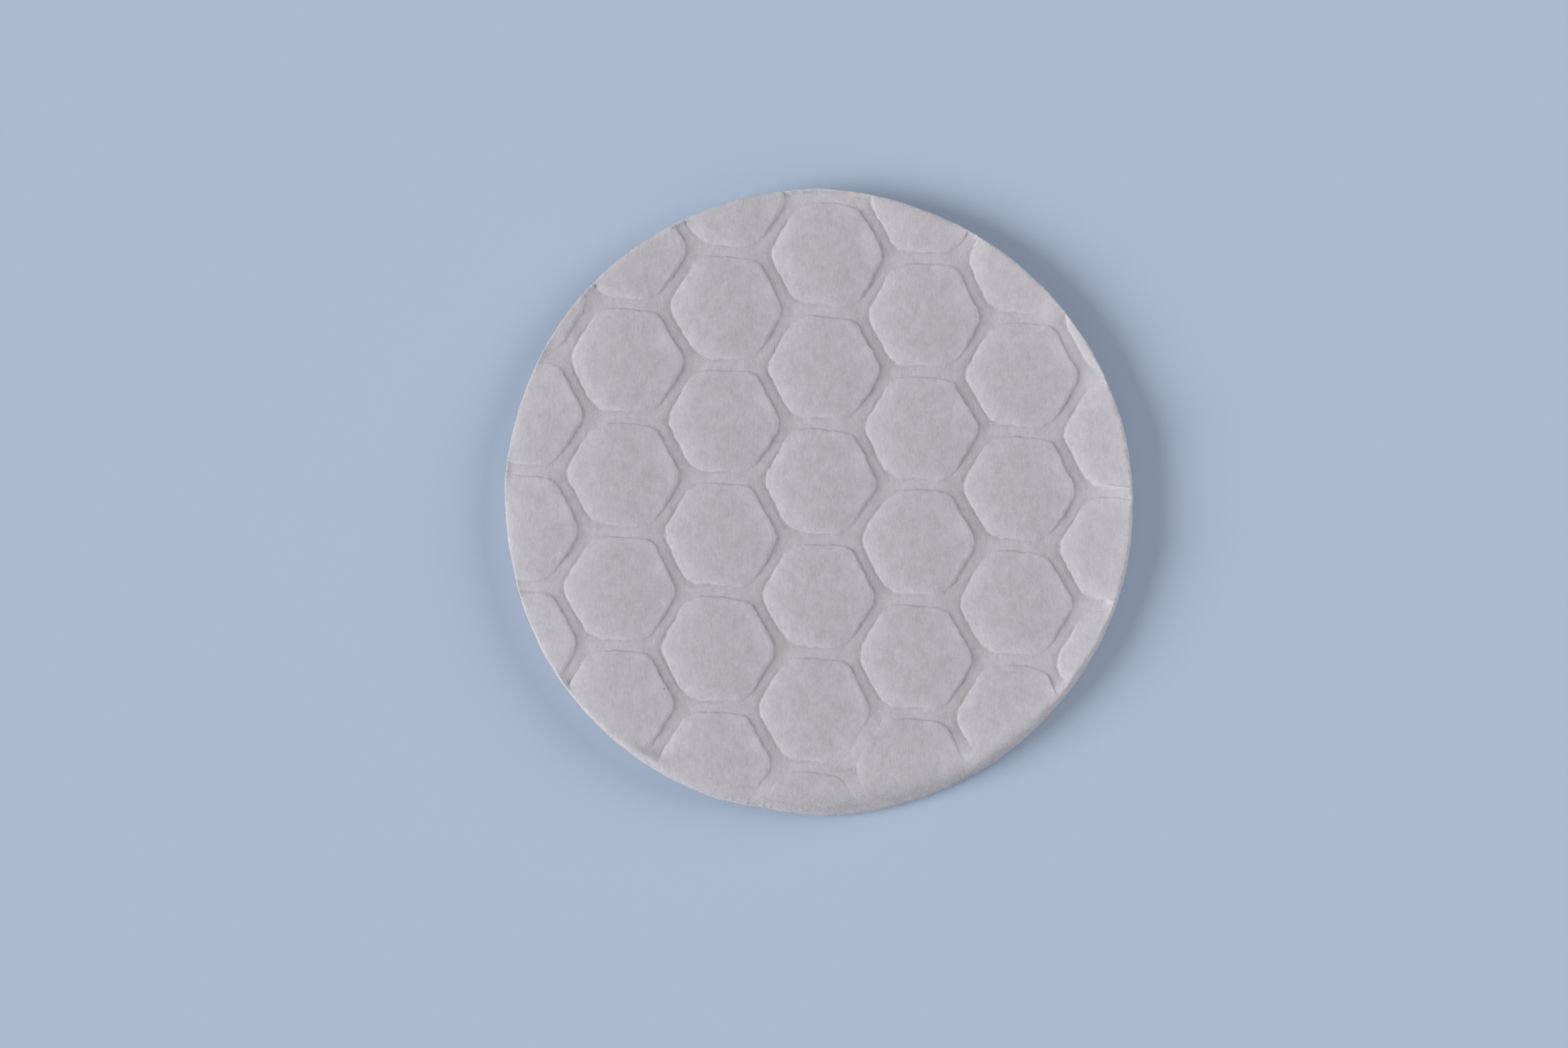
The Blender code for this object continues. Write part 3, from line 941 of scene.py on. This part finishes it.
def cotton_material(name):
    material, shader, tree = new_material(name)
    place = add_node(tree, "TexCoord").outputs["Object"]
    stretched = add_node(tree, "Mapping", {"Vector": place, "Scale": (1.0, 1.0 / COMBED, 1.0)})
    clouds = add_node(tree, "TexNoise", {
        "Vector": stretched.outputs[0], "Scale": 1 / CLOUD_WIDTH, "Detail": 4.0, "Roughness": 0.95,
    })
    bunch_scale = (1 / BUNCH_WIDTH, 1 / BUNCH_LENGTH, 1 / BUNCH_WIDTH)
    combed = add_node(tree, "Mapping", {"Vector": place, "Scale": bunch_scale})
    bunches = add_node(tree, "TexNoise", {
        "Vector": combed.outputs[0], "Scale": 1.0, "Detail": 1.0, "Roughness": 0.6, "Distortion": BUNCH_BEND,
    })
    uneven = add_node(
        tree, "Mix", {0: BUNCH_SHARE, "A": clouds.outputs[0], "B": bunches.outputs[0]}, data_type="FLOAT"
    )
    spread = add_node(tree, "MapRange", {
        "Value": uneven.outputs[0], "From Min": 0.3, "From Max": 0.7,
        "To Min": -UNEVEN_BY, "To Max": UNEVEN_BY,
    })
    loose_and_painted_light = add_node(tree, "Attribute", attribute_name="loose_and_painted_light")
    whiteness = add_node(
        tree, "Math", {0: loose_and_painted_light.outputs["Fac"], 1: spread.outputs[0]}, operation="ADD", use_clamp=True
    )
    colour = add_node(
        tree, "Mix", {0: whiteness.outputs[0], 6: PRESSED_AND_SHADED_COLOUR, 7: LOOSE_AND_LIT_COLOUR}, data_type="RGBA"
    )
    bump = add_node(tree, "Bump", {"Height": uneven.outputs[0], "Strength": 0.5, "Distance": BUMP_DEPTH})
    feed(shader, {
        "Base Color": colour.outputs[2], "Normal": bump.outputs[0],
        "Roughness": 0.95, "Specular IOR Level": 0.15, "Sheen Weight": 0.15, "Sheen Roughness": 0.5,
        "Subsurface Weight": 0.2, "Subsurface Radius": (1.0, 1.0, 1.0), "Subsurface Scale": LIGHT_SPREADS,
    })
    return material


cotton = cotton_material("bleached_cotton_web")
pad_mesh.materials.clear()
pad_mesh.materials.append(cotton)
print("bunches:", round(BUNCH_WIDTH / MM, 2), "mm by", round(BUNCH_LENGTH / MM, 2), "mm")

# %% [markdown]
# ## Loose fibres on the face
# Fibres and small bunches of them have worked loose on the face, and catch the light. Carding has combed
# them along the web, so most of them run along Y. Each is a thread of a few points dropped on the
# surface by rays, and it ends where it comes to a wall, apart from a few that span a groove like a taut
# string. A curve with a bevel makes it round. Real fibres are too fine to see, so these are drawn as
# bunches of 0.05 to 0.1 mm, and lie mostly sunk in the web.

# %% Loose fibres on the face
FACE_FIBRES = 3200
FIBRE_RADIUS = 0.012 * MM
BUNCH_THICKNESS = (2.0, 4.2)  # thinnest and thickest bunch, in thicknesses of a fibre
SUNK = 0.8  # how deep the middle of a bunch lies in the web, as a share of its own radius
FACE_FIBRE_LENGTHS = (0.3 * MM, 1.1 * MM)
FIBRE_STEPS = 6
COMB_SPREAD = math.radians(24.0)  # how far fibres stray from Y
FIBRE_CURL = math.radians(9.0)  # how much one turns from step to step
SPANNING = 0.006  # share of the fibres that span a groove
STEEPEST = 0.25  # any other ends where the web rises or drops more steeply than this
FEWEST_POINTS = 5  # one that ends sooner is left out
KEEPS_OFF_CUT = 0.1 * MM
TIGHTENINGS = 3  # rounds that lift a fibre's points on to the line between their neighbours
TIP_THICKNESS = 0.3
FIBRE_SEED = 5
draw = np.random.default_rng(FIBRE_SEED)


def lay_fibre(x, y, heading, length, thickness):
    """Points of a fibre that starts at a place and lies on the pad. Stops at a wall or the pad's edge."""
    spans = draw.uniform() < SPANNING
    step = length / FIBRE_STEPS
    path = []
    for _ in range(FIBRE_STEPS + 1):
        hit = point_below(surface, x, y)
        if hit is None or inside_cut(hit) < KEEPS_OFF_CUT:
            break
        if path and not spans and abs(hit.z - path[-1].z) > STEEPEST * step:
            break
        path.append(hit)
        x += step * math.cos(heading)
        y += step * math.sin(heading)
        heading += draw.normal(0.0, FIBRE_CURL)
    for _ in range(TIGHTENINGS):
        for before, here, after in zip(path, path[1:], path[2:]):
            here.z = max(here.z, 0.5 * (before.z + after.z))
    for here in path:
        here.z -= SUNK * thickness * FIBRE_RADIUS
    return path


def fibres_from(name, paths, radius):
    """One mesh of round fibres along those paths, each with its thickness in radii, pointed at both ends."""
    curve = bpy.data.curves.new(name, "CURVE")
    curve.dimensions = "3D"
    curve.bevel_depth = radius
    curve.bevel_resolution = 0
    curve.use_fill_caps = True
    for path, thickness in paths:
        spline = curve.splines.new("POLY")
        spline.points.add(len(path) - 1)
        for point, place in zip(spline.points, path):
            point.co = (*place, 1.0)
            point.radius = thickness
        spline.points[0].radius = spline.points[-1].radius = TIP_THICKNESS
    drawn = new_object(name, curve)
    mesh = final_mesh(drawn)
    bpy.data.objects.remove(drawn, do_unlink=True)
    mesh.name = name
    bm = bmesh.new()
    bm.from_mesh(mesh)
    bmesh.ops.recalc_face_normals(bm, faces=bm.faces)
    bm.to_mesh(mesh)
    bm.free()
    mesh.shade_smooth()
    return new_object(name, mesh)


thinnest, thickest = BUNCH_THICKNESS
face_paths = []
for _ in range(FACE_FIBRES):
    spot = 0.5 * PAD_WIDTH * math.sqrt(draw.uniform())
    turn = draw.uniform(0.0, 2.0 * math.pi)
    heading = math.radians(90.0) + draw.normal(0.0, COMB_SPREAD)
    length = draw.uniform(*FACE_FIBRE_LENGTHS)
    thickness = thinnest + (thickest - thinnest) * draw.uniform() ** 2
    path = lay_fibre(spot * math.cos(turn), spot * math.sin(turn), heading, length, thickness)
    if len(path) >= FEWEST_POINTS:
        face_paths.append((path, thickness))
face_fibres = fibres_from("face_fibres", face_paths, FIBRE_RADIUS)
print("fibres on the face:", len(face_paths), "faces:", len(face_fibres.data.polygons))

# %% [markdown]
# ## Fuzz at the cut
# The cut ends of fibres stand out of the wall in a short, dense fuzz, with a longer stray one now and
# then. It is what makes the edge of cotton look soft. There is most of it at the bottom of the pad, where
# the die tore the web. Each fibre starts just inside the wall and bends as it goes.

# %% Fuzz at the cut
FUZZ_FIBRES = 5600
FUZZ_RADIUS = 0.010 * MM
FUZZ_LENGTHS = (0.10 * MM, 0.27 * MM)
STRAY_SHARE = 0.012
STRAY_LENGTHS = (0.3 * MM, 0.7 * MM)
LONGER_BELOW = 0.1  # how much longer the fuzz is at the bottom, as a share
BELOW = (-86.0, 34.0)  # direction and spread in degrees of the place with the most fuzz
FUZZ_AWAY_FROM_BELOW = 0.45  # share of the fuzz that is left elsewhere
FUZZ_LEVELS = (0.12, 0.92)  # lowest and highest root, as shares of the pad's thickness
FUZZ_SIDEWAYS = 0.9  # spread of the directions round the rim
FUZZ_UPWARDS = (0.1, 0.4)  # mean and spread of the directions up and down
FUZZ_BEND = 0.45
FUZZ_STEPS = 3
ROOT_DEPTH = 0.06 * MM


def fuzz_fibre(turn, level, length):
    """Points of a fibre that leaves the wall in a direction round the pad, at a height."""
    outwards = Vector((math.cos(turn), math.sin(turn), 0.0))
    round_rim = Vector((-outwards.y, outwards.x, 0.0))
    start = outwards * 2.0 * rim_radius(turn) + Vector((0.0, 0.0, level))
    hit = surface.ray_cast(start, -outwards)[0]
    here = hit - outwards * ROOT_DEPTH
    heading = outwards + round_rim * draw.normal(0.0, FUZZ_SIDEWAYS)
    heading += Vector((0.0, 0.0, draw.normal(*FUZZ_UPWARDS)))
    path = [here]
    for _ in range(FUZZ_STEPS):
        heading = heading.normalized() + FUZZ_BEND * Vector(draw.normal(0.0, 1.0, 3)).normalized()
        here = here + heading.normalized() * (length / FUZZ_STEPS)
        path.append(here)
    return path


fuzz_paths = []
while len(fuzz_paths) < FUZZ_FIBRES:
    turn = draw.uniform(-math.pi, math.pi)
    if draw.uniform() > FUZZ_AWAY_FROM_BELOW + (1.0 - FUZZ_AWAY_FROM_BELOW) * bell(turn, *BELOW):
        continue
    level = PAD_THICKNESS * draw.uniform(*FUZZ_LEVELS)
    lengths = STRAY_LENGTHS if draw.uniform() < STRAY_SHARE else FUZZ_LENGTHS
    length = draw.uniform(*lengths) * (1.0 + LONGER_BELOW * bell(turn, *BELOW))
    fuzz_paths.append((fuzz_fibre(turn, level, length), 1.0))
cut_fuzz = fibres_from("cut_fuzz", fuzz_paths, FUZZ_RADIUS)
print("fibres at the cut:", len(fuzz_paths), "faces:", len(cut_fuzz.data.polygons))

# %% [markdown]
# ## Single cotton fibres
# A bleached cotton fibre is a flat, twisted, hollow ribbon. It lets some light through and has a faint
# gloss that comes and goes along it. Both are painted into its colour: a loose one is drawn a little
# whiter than the web below it, and a noise as long as a few twists, about 0.3 mm, changes it between
# two tones along the fibre, a painted sheen.

# %% Single cotton fibres
TWIST_LENGTH = 0.3 * MM


def two_toned(name, tones, grain, detail, looks):
    """A material that changes between two tones in a noise of that grain, and has these looks."""
    material, shader, tree = new_material(name)
    place = add_node(tree, "TexCoord").outputs["Object"]
    pattern = add_node(tree, "TexNoise", {"Vector": place, "Scale": 1 / grain, "Detail": detail})
    tone = add_node(tree, "Mix", {0: pattern.outputs[0], 6: tones[0], 7: tones[1]}, data_type="RGBA")
    feed(shader, {"Base Color": tone.outputs[2], **looks})
    return material


fibre_looks = {"Roughness": 0.7, "Specular IOR Level": 0.25}
# the lighter tone is a painted sheen along the fibre
fibre_tones_and_sheen = (linear("#BCBAC0"), linear("#DAD8DE"))
loose_fibre = two_toned("single_cotton_fibres", fibre_tones_and_sheen, TWIST_LENGTH, 1.0, fibre_looks)
for piece in (face_fibres, cut_fuzz):
    piece.data.materials.clear()
    piece.data.materials.append(loose_fibre)
    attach(piece, "root")
print("the thickest bunch is", round(2 * thickest * FIBRE_RADIUS / MM, 3), "mm thick")

# %% [markdown]
# ## Specks of seed coat
# Ginning leaves a few crumbs of the cotton seed's coat in the fibre, and bleaching fades them to a
# greyish brown. They are flat flakes about 0.1 to 0.2 mm across, so a squashed ball with few faces is
# enough for each, half sunk in the web and turned at random.

# %% Specks of seed coat
SPECKS = (
    # place of a speck on the pad and its length, in mm
    (-13.98, -16.97, 0.20),
    (-4.20, -22.37, 0.13),
    (-10.57, -8.42, 0.12),
    (-9.48, -8.72, 0.12),
)
SPECK_GRAIN = 0.05 * MM
SPECK_FORM = (1.0, 0.7, 0.35)  # length, width and height, as shares of its length

bm = bmesh.new()
for x, y, across in SPECKS:
    turned = Matrix.Rotation(draw.uniform(0.0, math.pi), 4, "Z")
    lying = Matrix.Translation(point_below(surface, x * MM, y * MM)) @ turned
    flake = bmesh.ops.create_icosphere(bm, subdivisions=1, radius=0.5 * across * MM)
    bmesh.ops.scale(bm, verts=flake["verts"], vec=Vector(SPECK_FORM))
    bmesh.ops.transform(bm, matrix=lying, verts=flake["verts"])
specks_mesh = mesh_from("seed_coat_specks", bm)
specks_mesh.shade_smooth()
specks = new_object("seed_coat_specks", specks_mesh)

speck_tones = (linear("#67605A"), linear("#8F8983"))
seed_coat = two_toned("bleached_seed_coat", speck_tones, SPECK_GRAIN, 2.0, {"Roughness": 0.8})
specks_mesh.materials.append(seed_coat)
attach(specks, "root")
print("specks:", len(SPECKS), "faces:", len(specks_mesh.polygons))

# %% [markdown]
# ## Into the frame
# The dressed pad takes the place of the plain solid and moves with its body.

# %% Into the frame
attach(pad, "root")
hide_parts("cotton_pad")
